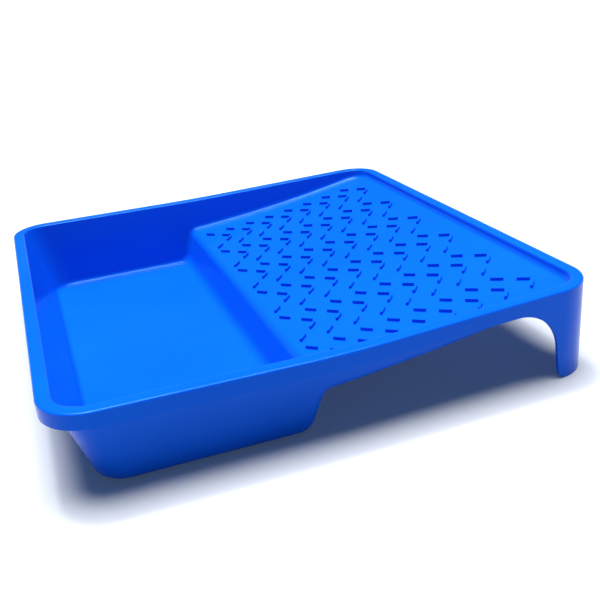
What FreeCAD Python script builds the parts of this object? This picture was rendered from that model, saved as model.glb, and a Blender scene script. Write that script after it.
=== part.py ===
"""Paint roller tray: one plastic moulding, cut along flat planes into its named regions.

Millimetres. X runs along the tray from the paint well (-X) to the ramp end (+X), Y across it, Z up.
The origin is on the standing surface, under the middle of the rim's bounding rectangle.
"""
import FreeCAD, Part
import math
import os

V = FreeCAD.Vector

# ---- Driving dimensions ------------------------------------------------------------------------
overall_length = 330.0      # over the rim, along X
well_width = 350.0          # over the rim, across the paint well
ramp_end_narrowing = 6.5    # how much each long side has closed in at the ramp end
taper_start_x = -2.0        # where the long sides begin to close in and the rim is lowest
side_bend_length = 40.0     # length of the gentle bend of each long side
rim_bend_length = 60.0      # length of the gentle bend of the rim
corner_radius = 27.0        # plan corners of the rim

well_rim_height = 56.2      # rim top at the well end
rim_dip = 1.9               # how much lower the rim top is where the long sides bend
rim_rise = 5.0              # how much it climbs from there to the ramp end
wall = 2.0                  # moulded wall, everywhere
rim_width = 8.4             # flat rim, from outer edge to well wall, at the well end
rim_edge_radius = 1.2       # rounding of the rim's two top edges
skirt_depth = 9.5           # hanging skirt, from rim top to its lower edge

side_draft = 10.0           # degrees from upright, long side walls and ramp end wall
well_end_draft = 17.0       # degrees from upright, wall at the well end
basin_corner_radius = 18.0  # corners between the basin's walls
basin_foot_radius = 4.0     # fillet between the walls and the floor or ramp

step_foot_x = -20.5         # where the step's slope would meet the floor
step_crest_x = -11.8        # where it would meet the ramp
step_crest_height = 29.1
step_foot_radius = 10.0
step_crest_radius = 8.0
ramp_end_depth = 5.7        # ramp surface below the rim top, at the ramp end wall
ramp_sag = 2.55             # how far the ramp's middle lies below its chord
ramp_bend_margin = 2.0      # flat left between the step's crest and the ramp's long bend

leg_width = 33.0            # along each side of the corner, at the leg's narrowest
leg_foot_radius = 6.0
leg_lean = 5.5              # how far the leg's edge leans out on its way down
arch_radius = 28.0          # between skirt and leg

rib_length = 8.4
rib_width = 1.6
rib_height = 2.1
rib_line_pitch = 18.45      # along the ramp, from one zigzag line to the next
rib_end_inset = 23.0        # from the ramp end's inner edge to the nearest zigzag line
rib_crest_inset = 8.0       # least room from the step's crest to the last zigzag line
rib_first_inset = 19.5      # across the ramp, from the +Y side wall's foot to the first ribs
rib_last_inset = 14.0       # least room left to the -Y side wall's foot
rib_zigzag_half = 5.6       # how far each rib's middle lies from its line
rib_arm_pitch = 12.3        # across the ramp, between the two ribs of one arm of a zigzag
rib_tip_pitch = 9.7         # the same round the tip nearest the ramp end
rib_root_pitch = 15.5       # the same round the tip nearest the well

rim_spare_depth = 1.0       # the rim is made this much too deep, then trimmed to the wall
edge_tolerance = 0.05       # an edge this near a surface lies on it
along_axis = 0.99           # least cosine of an edge that runs along an axis

# ---- Derived values ----------------------------------------------------------------------------
half_length = overall_length / 2.0
half_well = well_width / 2.0
half_ramp_end = half_well - ramp_end_narrowing
low_rim_height = well_rim_height - rim_dip
ramp_rim_height = low_rim_height + rim_rise
taper_angle = math.atan2(ramp_end_narrowing, half_length - taper_start_x)
rim_fall = math.atan2(rim_dip, half_length + taper_start_x)
rim_climb = math.atan2(rim_rise, half_length - taper_start_x)
corner_reach = 2.0 * corner_radius                 # a corner's edges lie this near the tray's ends
reach = 2.0 * max(overall_length, well_width)      # longer than anything in the tray
top_z = 2.0 * ramp_rim_height                      # above anything in the tray

ramp_end_x = half_length - rim_width
ramp_end_height = ramp_rim_height - ramp_end_depth
ramp_middle_x = (step_crest_x + ramp_end_x) / 2.0
ramp_middle_height = (step_crest_height + ramp_end_height) / 2.0 - 2.0 * ramp_sag
leg_x = half_length - leg_width
arch_start_x = leg_x - arch_radius
arch_start_y = half_ramp_end - leg_width - arch_radius


# ---- Plane geometry helpers --------------------------------------------------------------------
def unit(a, b):
    """Unit vector from point a to point b, both (u, v)."""
    length = math.hypot(b[0] - a[0], b[1] - a[1])
    return ((b[0] - a[0]) / length, (b[1] - a[1]) / length)


def meet(p, d, q, e):
    """Point where the line through p along d crosses the line through q along e."""
    cross = d[0] * e[1] - d[1] * e[0]
    t = ((q[0] - p[0]) * e[1] - (q[1] - p[1]) * e[0]) / cross
    return (p[0] + t * d[0], p[1] + t * d[1])


def shifted(points, distance):
    """The open polyline moved sideways to its right by distance, corners met again."""
    moved = []
    for a, b in zip(points[:-1], points[1:]):
        d = unit(a, b)
        start = (a[0] + d[1] * distance, a[1] - d[0] * distance)
        moved.append((start, d))
    end = points[-1]
    last = moved[-1][1]
    corners = [meet(p, d, q, e) for (p, d), (q, e) in zip(moved[:-1], moved[1:])]
    return [moved[0][0]] + corners + [(end[0] + last[1] * distance, end[1] - last[0] * distance)]


def turn_between(a, b, c):
    """Signed turn of the path a-b-c at b; a left turn is positive."""
    d = unit(a, b)
    e = unit(b, c)
    return math.atan2(d[0] * e[1] - d[1] * e[0], d[0] * e[0] + d[1] * e[1])


def rounded_edges(points, radii, place):
    """Edges of an open polyline whose inner corners are rounded; place makes a 3-D point."""
    edges = []
    current = points[0]
    for a, b, c, radius in zip(points[:-2], points[1:-1], points[2:], radii):
        turn = turn_between(a, b, c)
        back = radius * math.tan(abs(turn) / 2.0)
        d = unit(a, b)
        e = unit(b, c)
        start = (b[0] - back * d[0], b[1] - back * d[1])
        end = (b[0] + back * e[0], b[1] + back * e[1])
        bisector = unit((0.0, 0.0), (e[0] - d[0], e[1] - d[1]))
        to_arc = radius / math.cos(turn / 2.0) - radius
        middle = (b[0] + bisector[0] * to_arc, b[1] + bisector[1] * to_arc)
        edges.append(Part.LineSegment(place(current), place(start)).toShape())
        edges.append(Part.Arc(place(start), place(middle), place(end)).toShape())
        current = end
    edges.append(Part.LineSegment(place(current), place(points[-1])).toShape())
    return edges


def side_view(point):
    """A point (x, z) of the side view, on the far side of everything in Y."""
    return V(point[0], -reach, point[1])


def end_view(point):
    """A point (y, z) of the end view, on the far side of everything in X."""
    return V(-reach, point[0], point[1])


def plan_view(point):
    """A point (x, y) of the plan, at the height of the rim at the well end."""
    return V(point[0], point[1], well_rim_height)


def outlined(path, radii, closing, place):
    """Face between a rounded path and the straight lines through its closing points."""
    edges = rounded_edges(path, radii, place)
    loop = [path[-1]] + closing + [path[0]]
    for a, b in zip(loop[:-1], loop[1:]):
        edges.append(Part.LineSegment(place(a), place(b)).toShape())
    return Part.Face(Part.Wire(edges))


# ---- Side-view paths, each running towards +X --------------------------------------------------
def run_on(a, b, x):
    """The point at x on the line through a and b."""
    return (x, a[1] + (b[1] - a[1]) * (x - a[0]) / (b[0] - a[0]))


def floor_path(distance_below):
    """Floor, step and ramp as seen from the side, moved below their top surface."""
    crest = (step_crest_x, step_crest_height)
    middle = (ramp_middle_x, ramp_middle_height)
    ramp_end = (ramp_end_x, ramp_end_height)
    points = [(-reach, wall), (step_foot_x, wall), crest, middle, run_on(middle, ramp_end, reach)]
    half_ramp = math.hypot(middle[0] - crest[0], middle[1] - crest[1])
    ramp_turn = turn_between(crest, middle, ramp_end)
    crest_turn = turn_between(points[1], crest, middle)
    crest_reach = step_crest_radius * math.tan(abs(crest_turn) / 2.0)
    ramp_radius = (half_ramp - crest_reach - ramp_bend_margin) / math.tan(ramp_turn / 2.0)
    radii = [step_foot_radius + distance_below, step_crest_radius - distance_below,
             ramp_radius + distance_below]
    return shifted(points, distance_below), radii


def rim_path(distance_below):
    """Rim top as seen from the side, moved below its top surface."""
    start = (-half_length, well_rim_height)
    low = (taper_start_x, low_rim_height)
    end = (half_length, ramp_rim_height)
    points = [run_on(start, low, -reach), low, run_on(low, end, reach)]
    bend_radius = rim_bend_length / (rim_fall + rim_climb)
    return shifted(points, distance_below), [bend_radius + distance_below]


def above(path_and_radii):
    """Everything above a side-view path."""
    path, radii = path_and_radii
    face = outlined(path, radii, [(reach, reach), (-reach, reach)], side_view)
    return face.extrude(V(0, 2.0 * reach, 0))


def below(path_and_radii):
    """Everything below a side-view path."""
    path, radii = path_and_radii
    face = outlined(path, radii, [(reach, -reach), (-reach, -reach)], side_view)
    return face.extrude(V(0, 2.0 * reach, 0))


# ---- Walled blocks, seen in plan ---------------------------------------------------------------
def side_path(outside):
    """Plan of the -Y side of the rim's outline, moved outwards, running towards +X."""
    start = (taper_start_x, -half_well)
    points = [(-reach, -half_well), start, run_on(start, (half_length, -half_ramp_end), reach)]
    return shifted(points, outside), [side_bend_length / taper_angle + outside]


def inside_long_side(inset, draft):
    """Everything inside the -Y side's wall, which leans out by the draft on its way up."""
    path, radii = side_path(-inset)
    lean = V(0, -math.tan(math.radians(draft)), 1)
    face = outlined(path, radii, [(reach, reach), (-reach, reach)], plan_view)
    face.translate(lean * (-top_z - well_rim_height))
    return face.extrude(lean * (2.0 * top_z))


def between_ends(well_inset, ramp_inset, well_draft, ramp_draft):
    """Everything between the two end walls, which lean out by their drafts on the way up."""
    corners = []
    for side, inset, draft in ((-1.0, well_inset, well_draft), (1.0, ramp_inset, ramp_draft)):
        lean = math.tan(math.radians(draft))
        for z in (-side * top_z, side * top_z):
            corners.append((side * (half_length - inset + lean * (z - well_rim_height)), z))
    ring = [side_view(corners[i]) for i in (0, 1, 2, 3, 0)]
    return Part.Face(Part.makePolygon(ring)).extrude(V(0, 2.0 * reach, 0))


def walled_block(insets, drafts, radius):
    """Tall block inside four walls with rounded corners; insets and drafts are side, well, ramp."""
    near = inside_long_side(insets[0], drafts[0])
    far = near.mirror(V(0, 0, 0), V(0, 1, 0))
    ends = between_ends(insets[1], insets[2], drafts[1], drafts[2])
    block = near.common(far).common(ends)
    return block.makeFillet(radius, [e for e in block.Edges if is_upright(e) and is_at_corner(e)])


def is_upright(edge):
    """True for an edge that runs the whole height of a block."""
    return abs(edge.Vertexes[0].Z - edge.Vertexes[-1].Z) > top_z


def is_at_corner(edge):
    """True for an edge near the tray's plan corners, not at a bend of its long sides."""
    return abs(edge.CenterOfMass.x) > half_length - corner_reach


def outline_block(inset):
    """Upright block inside the rim's outline, moved in by the inset."""
    return walled_block((inset, inset, inset), (0.0, 0.0, 0.0), corner_radius - inset)


# ---- The basin ---------------------------------------------------------------------------------
def basin_space(outside):
    """The basin's inside, or its outside when moved out by the wall: open to above the rim."""
    drafts = (side_draft, well_end_draft, side_draft)
    insets = [rim_width - outside / math.cos(math.radians(draft)) for draft in drafts]
    walls = walled_block(insets, drafts, basin_corner_radius + outside)
    space = walls.common(above(floor_path(outside)))
    foot = [e for e in space.Edges if is_foot_edge(e, walls)]
    return space.makeFillet(basin_foot_radius + outside, foot)


def is_foot_edge(edge, walls):
    """True for the edges where the walls meet the floor, step and ramp."""
    middle = edge.valueAt((edge.FirstParameter + edge.LastParameter) / 2.0)
    return edge.BoundBox.ZMax < ramp_rim_height and not walls.isInside(middle, edge_tolerance, False)


# ---- Rim, skirt and legs -----------------------------------------------------------------------
def skirt_edge(x):
    """Height of the skirt's lower edge, over the ramp."""
    return rim_top(x) - skirt_depth


def side_outline():
    """Lower outline of skirt and legs as seen from the side."""
    points, radii = rim_path(skirt_depth)
    top = (leg_x, skirt_edge(leg_x))
    foot = (leg_x + leg_lean, 0.0)
    return points[:2] + [top, foot, (reach, 0.0)], radii + [arch_radius, leg_foot_radius]


def end_gap():
    """Space between the legs under the ramp end's skirt."""
    foot = half_ramp_end - leg_width + leg_lean
    top = half_ramp_end - leg_width
    edge = ramp_rim_height - skirt_depth
    right = [(-reach, 0.0), (-foot, 0.0), (-top, edge)]
    left = [(top, edge), (foot, 0.0), (reach, 0.0)]
    radii = [leg_foot_radius, arch_radius, arch_radius, leg_foot_radius]
    face = outlined(right + left, radii, [(reach, -reach), (-reach, -reach)], end_view)
    face.translate(V(reach + half_length - corner_radius, 0, 0))
    return face.extrude(V(reach, 0, 0))


def rim_plate(basin_inside):
    """Flat rim with its two rounded top edges."""
    plate = outline_block(0.0).common(below(rim_path(0.0))).common(above(rim_path(wall + rim_spare_depth)))
    plate = plate.cut(basin_inside)
    top_edges = [e for e in plate.Edges if is_rim_top_edge(e)]
    return plate.makeFillet(rim_edge_radius, top_edges).common(above(rim_path(wall)))


def is_rim_top_edge(edge):
    """True for the edges around the rim's top face, not the bends across it."""
    middle = edge.valueAt((edge.FirstParameter + edge.LastParameter) / 2.0)
    across = edge.Length < 2.0 * rim_width and abs(edge.tangentAt(edge.FirstParameter).y) > along_axis
    return abs(middle.z - rim_top(middle.x)) < edge_tolerance and not across


def rim_top(x):
    """Height of the rim's top, leaving out the small bend."""
    slope = math.tan(rim_climb) if x > taper_start_x else -math.tan(rim_fall)
    return low_rim_height + slope * (x - taper_start_x)


# ---- Grip ribs ---------------------------------------------------------------------------------
def rib_blank(x, y, turned):
    """Upright blank of one rib: a bar with round ends, turned either way along its zigzag."""
    half = (rib_length - rib_width) / 2.0
    r = rib_width / 2.0
    ends = [V(-half, -r, 0), V(half, -r, 0), V(half, r, 0), V(-half, r, 0)]
    edges = [Part.LineSegment(ends[0], ends[1]).toShape(),
             Part.Arc(ends[1], V(half + r, 0, 0), ends[2]).toShape(),
             Part.LineSegment(ends[2], ends[3]).toShape(),
             Part.Arc(ends[3], V(-half - r, 0, 0), ends[0]).toShape()]
    blank = Part.Face(Part.Wire(edges)).extrude(V(0, 0, top_z))
    arm_angle = math.degrees(math.atan2(rib_arm_pitch, 2.0 * rib_zigzag_half))
    blank.rotate(V(0, 0, 0), V(0, 0, 1), turned * arm_angle)
    blank.translate(V(x, y, 0))
    return blank


def rib_line_places():
    """Places along X of the zigzag lines, from the ramp end back towards the step."""
    first = ramp_end_x - rib_end_inset
    last = across_cuts()[2] + rib_crest_inset
    count = int((first - last) / rib_line_pitch) + 1
    return [first - line * rib_line_pitch for line in range(count)]


def rib_places_along_line():
    """Places along Y of one zigzag line's ribs, two to an arm, from +Y on while there is room."""
    pitches = (rib_arm_pitch, rib_tip_pitch, rib_arm_pitch, rib_root_pitch)
    places = []
    y = side_cut() - rib_first_inset
    while y >= rib_last_inset - side_cut():
        places.append(y)
        y -= pitches[(len(places) - 1) % 4]
    return places


def grip_ribs():
    """Zigzag lines of short ribs standing on the ramp: two ribs up each arm, two down the next."""
    blanks = []
    for line_x in rib_line_places():
        for row, y in enumerate(rib_places_along_line()):
            x = line_x + (rib_zigzag_half if row % 4 in (1, 2) else -rib_zigzag_half)
            blanks.append(rib_blank(x, y, 1.0 if row % 4 > 1 else -1.0))
    skin = above(floor_path(0.0)).common(below(floor_path(-rib_height)))
    return Part.makeCompound(blanks).common(skin)


# ---- Regions of the moulding -------------------------------------------------------------------
def slab(x_range=(-reach, reach), y_range=(-reach, reach)):
    """Upright block over a rectangle of the plan, taller than the tray."""
    size = (x_range[1] - x_range[0], y_range[1] - y_range[0], 2.0 * top_z)
    return Part.makeBox(*size, V(x_range[0], y_range[0], -top_z))


def across_cuts():
    """Where the basin is cut across: foot of the end wall, of the step, its crest, ramp end."""
    end = math.radians(well_end_draft)
    foot_x = -half_length + rim_width + (well_rim_height - wall) * math.tan(end)
    foot_reach = basin_foot_radius * math.tan((math.pi / 2.0 - end) / 2.0)
    points, radii = floor_path(0.0)
    backs = []
    for i in (1, 2):
        turn = turn_between(points[i - 1], points[i], points[i + 1])
        backs.append(radii[i - 1] * math.tan(abs(turn) / 2.0))
    step_start = step_foot_x - backs[0]
    step_end = step_crest_x + backs[1]
    return foot_x + foot_reach, step_start, step_end, ramp_end_x - basin_foot_radius


def side_cut():
    """Distance from the middle plane at which the long side walls are cut from floor and ramp."""
    side = math.radians(side_draft)
    foot_reach = basin_foot_radius * math.tan((math.pi / 2.0 - side) / 2.0)
    floor_half = half_well - rim_width - (well_rim_height - wall) * math.tan(side)
    ramp_half = half_ramp_end - rim_width - ramp_end_depth * math.tan(side)
    return min(floor_half, ramp_half) - foot_reach


def basin_regions(basin):
    """The basin cut into floor, step, ramp and walls."""
    end_x, step_x, crest_x, ramp_x = across_cuts()
    cut_y = side_cut()
    middle = (-cut_y, cut_y)
    regions = {
        "well_end_wall": slab((-reach, end_x)),
        "well_floor": slab((end_x, step_x), middle),
        "step_wall": slab((step_x, crest_x), middle),
        "ramp_deck": slab((crest_x, ramp_x), middle),
        "ramp_end_wall": slab((ramp_x, reach)),
    }
    for name, y_range in (("left", (cut_y, reach)), ("right", (-reach, -cut_y))):
        regions["well_side_" + name] = slab((end_x, crest_x), y_range)
        regions["ramp_side_" + name] = slab((crest_x, ramp_x), y_range)
    return {name: basin.common(block) for name, block in regions.items()}


def rim_regions(rim):
    """The rim cut into its two ends, with their corners, and two long sides."""
    corner_x = half_length - corner_radius
    regions = {
        "rim_well_end": slab((-reach, -corner_x)),
        "rim_left": slab((-corner_x, corner_x), (0.0, reach)),
        "rim_right": slab((-corner_x, corner_x), (-reach, 0.0)),
        "rim_ramp_end": slab((corner_x, reach)),
    }
    return {name: rim.common(block) for name, block in regions.items()}


def skirt_regions(skirt):
    """The skirt cut into ends and sides, with each leg from arch to arch round its corner."""
    corner_x = half_length - corner_radius
    regions = {
        "skirt_well_end": slab((-reach, -corner_x)),
        "skirt_left": slab((-corner_x, arch_start_x), (0.0, reach)),
        "skirt_right": slab((-corner_x, arch_start_x), (-reach, 0.0)),
        "leg_left": slab((arch_start_x, reach), (arch_start_y, reach)),
        "leg_right": slab((arch_start_x, reach), (-reach, -arch_start_y)),
        "skirt_ramp_end": slab((arch_start_x, reach), (-arch_start_y, arch_start_y)),
    }
    return {name: skirt.common(block) for name, block in regions.items()}


def tray_regions():
    """Every region of the moulding, by name."""
    inside = basin_space(0.0)
    under_rim = below(rim_path(wall))
    basin = basin_space(wall).common(under_rim).cut(inside)
    ring = outline_block(0.0).cut(outline_block(wall))
    skirt = ring.common(under_rim).common(above(side_outline())).cut(end_gap())
    regions = basin_regions(basin)
    regions.update(rim_regions(rim_plate(inside)))
    regions.update(skirt_regions(skirt))
    regions["grip_ribs"] = grip_ribs()
    return regions


os.makedirs("parts", exist_ok=True)
for name, shape in tray_regions().items():
    solids = shape.Solids
    print(name, "solids", len(solids), "volume", round(shape.Volume, 1))
    region = solids[0] if len(solids) == 1 else Part.makeCompound(solids)
    region.exportStep("parts/" + name + ".step")
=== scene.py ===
"""Looks of the paint roller tray: procedural plastic, a pale floor, soft light and the camera."""

import math

import bpy
from mathutils import Matrix, Vector

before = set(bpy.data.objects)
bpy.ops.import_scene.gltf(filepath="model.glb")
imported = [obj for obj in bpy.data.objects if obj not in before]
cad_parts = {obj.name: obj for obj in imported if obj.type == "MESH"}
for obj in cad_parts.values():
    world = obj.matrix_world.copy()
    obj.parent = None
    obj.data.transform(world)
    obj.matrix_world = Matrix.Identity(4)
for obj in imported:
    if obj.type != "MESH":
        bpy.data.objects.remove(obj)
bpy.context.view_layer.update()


# ---- Materials -----------------------------------------------------------------------------
class Nodes:
    """Small helper for building one material's node tree."""

    def __init__(self, name):
        self.material = bpy.data.materials.new(name)
        self.material.use_nodes = True
        self.tree = self.material.node_tree
        self.tree.nodes.clear()
        self.output = self.add("ShaderNodeOutputMaterial")
        self.shader = self.add("ShaderNodeBsdfPrincipled")
        self.link(self.shader.outputs["BSDF"], self.output.inputs["Surface"])
        self.where = self.add("ShaderNodeTexCoord").outputs["Object"]

    def add(self, kind, **settings):
        node = self.tree.nodes.new(kind)
        for key, value in settings.items():
            setattr(node, key, value)
        return node

    def link(self, a, b):
        self.tree.links.new(a, b)

    def noise(self, scale, detail=2.0, stretch=(1.0, 1.0, 1.0)):
        mapping = self.add("ShaderNodeMapping")
        mapping.inputs["Scale"].default_value = stretch
        self.link(self.where, mapping.inputs["Vector"])
        noise = self.add("ShaderNodeTexNoise")
        noise.inputs["Scale"].default_value = scale
        noise.inputs["Detail"].default_value = detail
        self.link(mapping.outputs["Vector"], noise.inputs["Vector"])
        return noise.outputs["Fac"]

    def spread(self, value, low, high, to_low, to_high):
        node = self.add("ShaderNodeMapRange")
        node.inputs["From Min"].default_value = low
        node.inputs["From Max"].default_value = high
        node.inputs["To Min"].default_value = to_low
        node.inputs["To Max"].default_value = to_high
        self.link(value, node.inputs["Value"])
        return node.outputs["Result"]

    def math(self, operation, a, b):
        node = self.add("ShaderNodeMath", operation=operation)
        for socket, value in zip(node.inputs, (a, b)):
            if isinstance(value, (int, float)):
                socket.default_value = value
            else:
                self.link(value, socket)
        return node.outputs["Value"]

    def mix(self, factor, a, b):
        node = self.add("ShaderNodeMix", data_type="RGBA")
        self.link(factor, node.inputs["Factor"])
        for socket, value in ((node.inputs["A"], a), (node.inputs["B"], b)):
            if isinstance(value, tuple):
                socket.default_value = value
            else:
                self.link(value, socket)
        return node.outputs["Result"]

    def bump(self, height, strength, distance, normal=None):
        node = self.add("ShaderNodeBump")
        node.inputs["Strength"].default_value = strength
        node.inputs["Distance"].default_value = distance
        self.link(height, node.inputs["Height"])
        if normal is not None:
            self.link(normal, node.inputs["Normal"])
        return node.outputs["Normal"]


# Linear colours, and texture scales in cycles per metre
plastic_dark = (0.0010, 0.076, 0.57, 1.0)
plastic_light = (0.0016, 0.090, 0.64, 1.0)
plastic_shine = (0.18, 0.55, 1.0, 1.0)
plastic_roughness = 0.20
roughness_swing = 0.03
scuff_roughness = 0.05
cloud_scale = 9.0
flow_scale = 14.0
scuff_scale = 160.0
ripple_scale = 60.0
grain_scale = 2200.0
noise_middle = (0.3, 0.7)       # where nearly all of a noise's values lie
noise_peaks = (0.62, 0.80)      # its few highest values


def blue_plastic():
    """Solid blue moulded plastic: faint flow marks, fine grain, light scuffs, uneven gloss."""
    n = Nodes("blue_plastic")
    cloud = n.noise(cloud_scale, 3.0)
    flow = n.noise(flow_scale, 4.0, (0.35, 2.2, 1.0))
    tone = n.math("ADD", n.math("MULTIPLY", cloud, 0.6), n.math("MULTIPLY", flow, 0.4))
    colour = n.mix(n.spread(tone, *noise_middle, 0.0, 1.0), plastic_dark, plastic_light)
    n.link(colour, n.shader.inputs["Base Color"])
    scuff = n.noise(scuff_scale, 5.0, (1.0, 0.18, 1.0))
    low = plastic_roughness - roughness_swing
    high = plastic_roughness + roughness_swing
    gloss = n.math("ADD", n.spread(cloud, *noise_middle, low, high),
                   n.spread(scuff, *noise_peaks, 0.0, scuff_roughness))
    n.link(gloss, n.shader.inputs["Roughness"])
    grain = n.bump(n.noise(grain_scale, 2.0), 0.05, 0.0002)
    ripple = n.bump(n.noise(ripple_scale, 1.0), 0.05, 0.0004, grain)
    n.link(ripple, n.shader.inputs["Normal"])
    n.shader.inputs["IOR"].default_value = 1.49
    n.shader.inputs["Specular IOR Level"].default_value = 0.25
    n.shader.inputs["Specular Tint"].default_value = plastic_shine
    return n.material


plastic = blue_plastic()
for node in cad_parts.values():
    node.data.materials.clear()
    node.data.materials.append(plastic)
    for polygon in node.data.polygons:
        polygon.material_index = 0


# ---- Floor ---------------------------------------------------------------------------------
floor_half = 40.0
floor_z = -0.0002               # just under the tray, so that the two faces don't share a plane
floor_dark = (0.43, 0.435, 0.445, 1.0)
floor_light = (0.45, 0.45, 0.455, 1.0)


def pale_floor():
    n = Nodes("pale_floor")
    tone = n.mix(n.spread(n.noise(3.0, 3.0), *noise_middle, 0.0, 1.0), floor_dark, floor_light)
    n.link(tone, n.shader.inputs["Base Color"])
    n.shader.inputs["Roughness"].default_value = 0.85
    n.shader.inputs["Specular IOR Level"].default_value = 0.2
    return n.material


floor_mesh = bpy.data.meshes.new("floor")
floor_corners = [(x * floor_half, y * floor_half, floor_z) for x, y in ((-1, -1), (1, -1), (1, 1), (-1, 1))]
floor_mesh.from_pydata(floor_corners, [], [(0, 1, 2, 3)])
floor = bpy.data.objects.new("floor", floor_mesh)
bpy.context.scene.collection.objects.link(floor)
floor_mesh.materials.append(pale_floor())


# ---- Light ---------------------------------------------------------------------------------
def sun(name, azimuth, elevation, power, width, colour=(1.0, 1.0, 1.0), shadow=True):
    """A far light; its azimuth, from +X towards +Y, its elevation and its width are in degrees."""
    lamp = bpy.data.lights.new(name, "SUN")
    lamp.energy = power
    lamp.use_shadow = shadow
    lamp.angle = math.radians(width)
    lamp.color = colour
    obj = bpy.data.objects.new(name, lamp)
    a, e = math.radians(azimuth), math.radians(elevation)
    source = Vector((math.cos(a) * math.cos(e), math.sin(a) * math.cos(e), math.sin(e)))
    obj.rotation_mode = "QUATERNION"
    obj.rotation_quaternion = source.to_track_quat("Z", "Y")
    bpy.context.scene.collection.objects.link(obj)


# A soft overhead key, a small light for thin highlights, and a shadowless blue lift for the
# shade under the tray, which stands in for light that the plastic passes on and throws back.
sun("key", 95.0, 84.0, 6.7, 42.0)
sun("gloss", 95.0, 74.0, 1.2, 5.0)
sun("fill", 95.0, 80.0, 1.3, 40.0, (0.38, 0.60, 1.0), shadow=False)


def pale_world():
    """White at the horizon, fading to a dark sky, so that flat tops keep their deep blue."""
    horizon = (0.98, 0.99, 1.0, 1.0)
    overhead = (0.02, 0.06, 0.12, 1.0)
    fade_end = 0.20             # height on the unit sphere at which the fade ends
    world = bpy.data.worlds.new("studio")
    bpy.context.scene.world = world
    world.use_nodes = True
    tree = world.node_tree
    tree.nodes.clear()
    output = tree.nodes.new("ShaderNodeOutputWorld")
    background = tree.nodes.new("ShaderNodeBackground")
    where = tree.nodes.new("ShaderNodeTexCoord")
    split = tree.nodes.new("ShaderNodeSeparateXYZ")
    height = tree.nodes.new("ShaderNodeMapRange")
    height.interpolation_type = "SMOOTHSTEP"
    height.inputs["From Min"].default_value = 0.0
    height.inputs["From Max"].default_value = fade_end
    mix = tree.nodes.new("ShaderNodeMix")
    mix.data_type = "RGBA"
    mix.inputs["A"].default_value = horizon
    mix.inputs["B"].default_value = overhead
    tree.links.new(where.outputs["Generated"], split.inputs["Vector"])
    tree.links.new(split.outputs["Z"], height.inputs["Value"])
    tree.links.new(height.outputs["Result"], mix.inputs["Factor"])
    tree.links.new(mix.outputs["Result"], background.inputs["Color"])
    tree.links.new(background.outputs["Background"], output.inputs["Surface"])


pale_world()
view = bpy.context.scene.view_settings
view.view_transform = "Standard"
view.look = "None"


# ---- Camera --------------------------------------------------------------------------------
def camera(position, yaw, pitch, roll, focal_share, shift_x):
    """Camera from its place in metres, its angles in radians and its focal length over the width."""
    forward = Vector((math.sin(yaw) * math.cos(pitch), math.cos(yaw) * math.cos(pitch),
                      -math.sin(pitch)))
    level = Vector((math.cos(yaw), -math.sin(yaw), 0.0))
    upward = level.cross(forward)
    right = math.cos(roll) * level + math.sin(roll) * upward
    up = -math.sin(roll) * level + math.cos(roll) * upward
    data = bpy.data.cameras.new("camera")
    data.lens = data.sensor_width * focal_share
    data.shift_x = shift_x
    data.clip_start = 0.01
    data.clip_end = 200.0
    obj = bpy.data.objects.new("camera", data)
    axes = Matrix((right, up, -forward)).transposed().to_4x4()
    obj.matrix_world = Matrix.Translation(position) @ axes
    bpy.context.scene.collection.objects.link(obj)
    bpy.context.scene.camera = obj


camera(position=(-0.14604, -0.53522, 0.25498), yaw=0.2812, pitch=0.4043, roll=-0.0984,
       focal_share=1.352, shift_x=0.05)
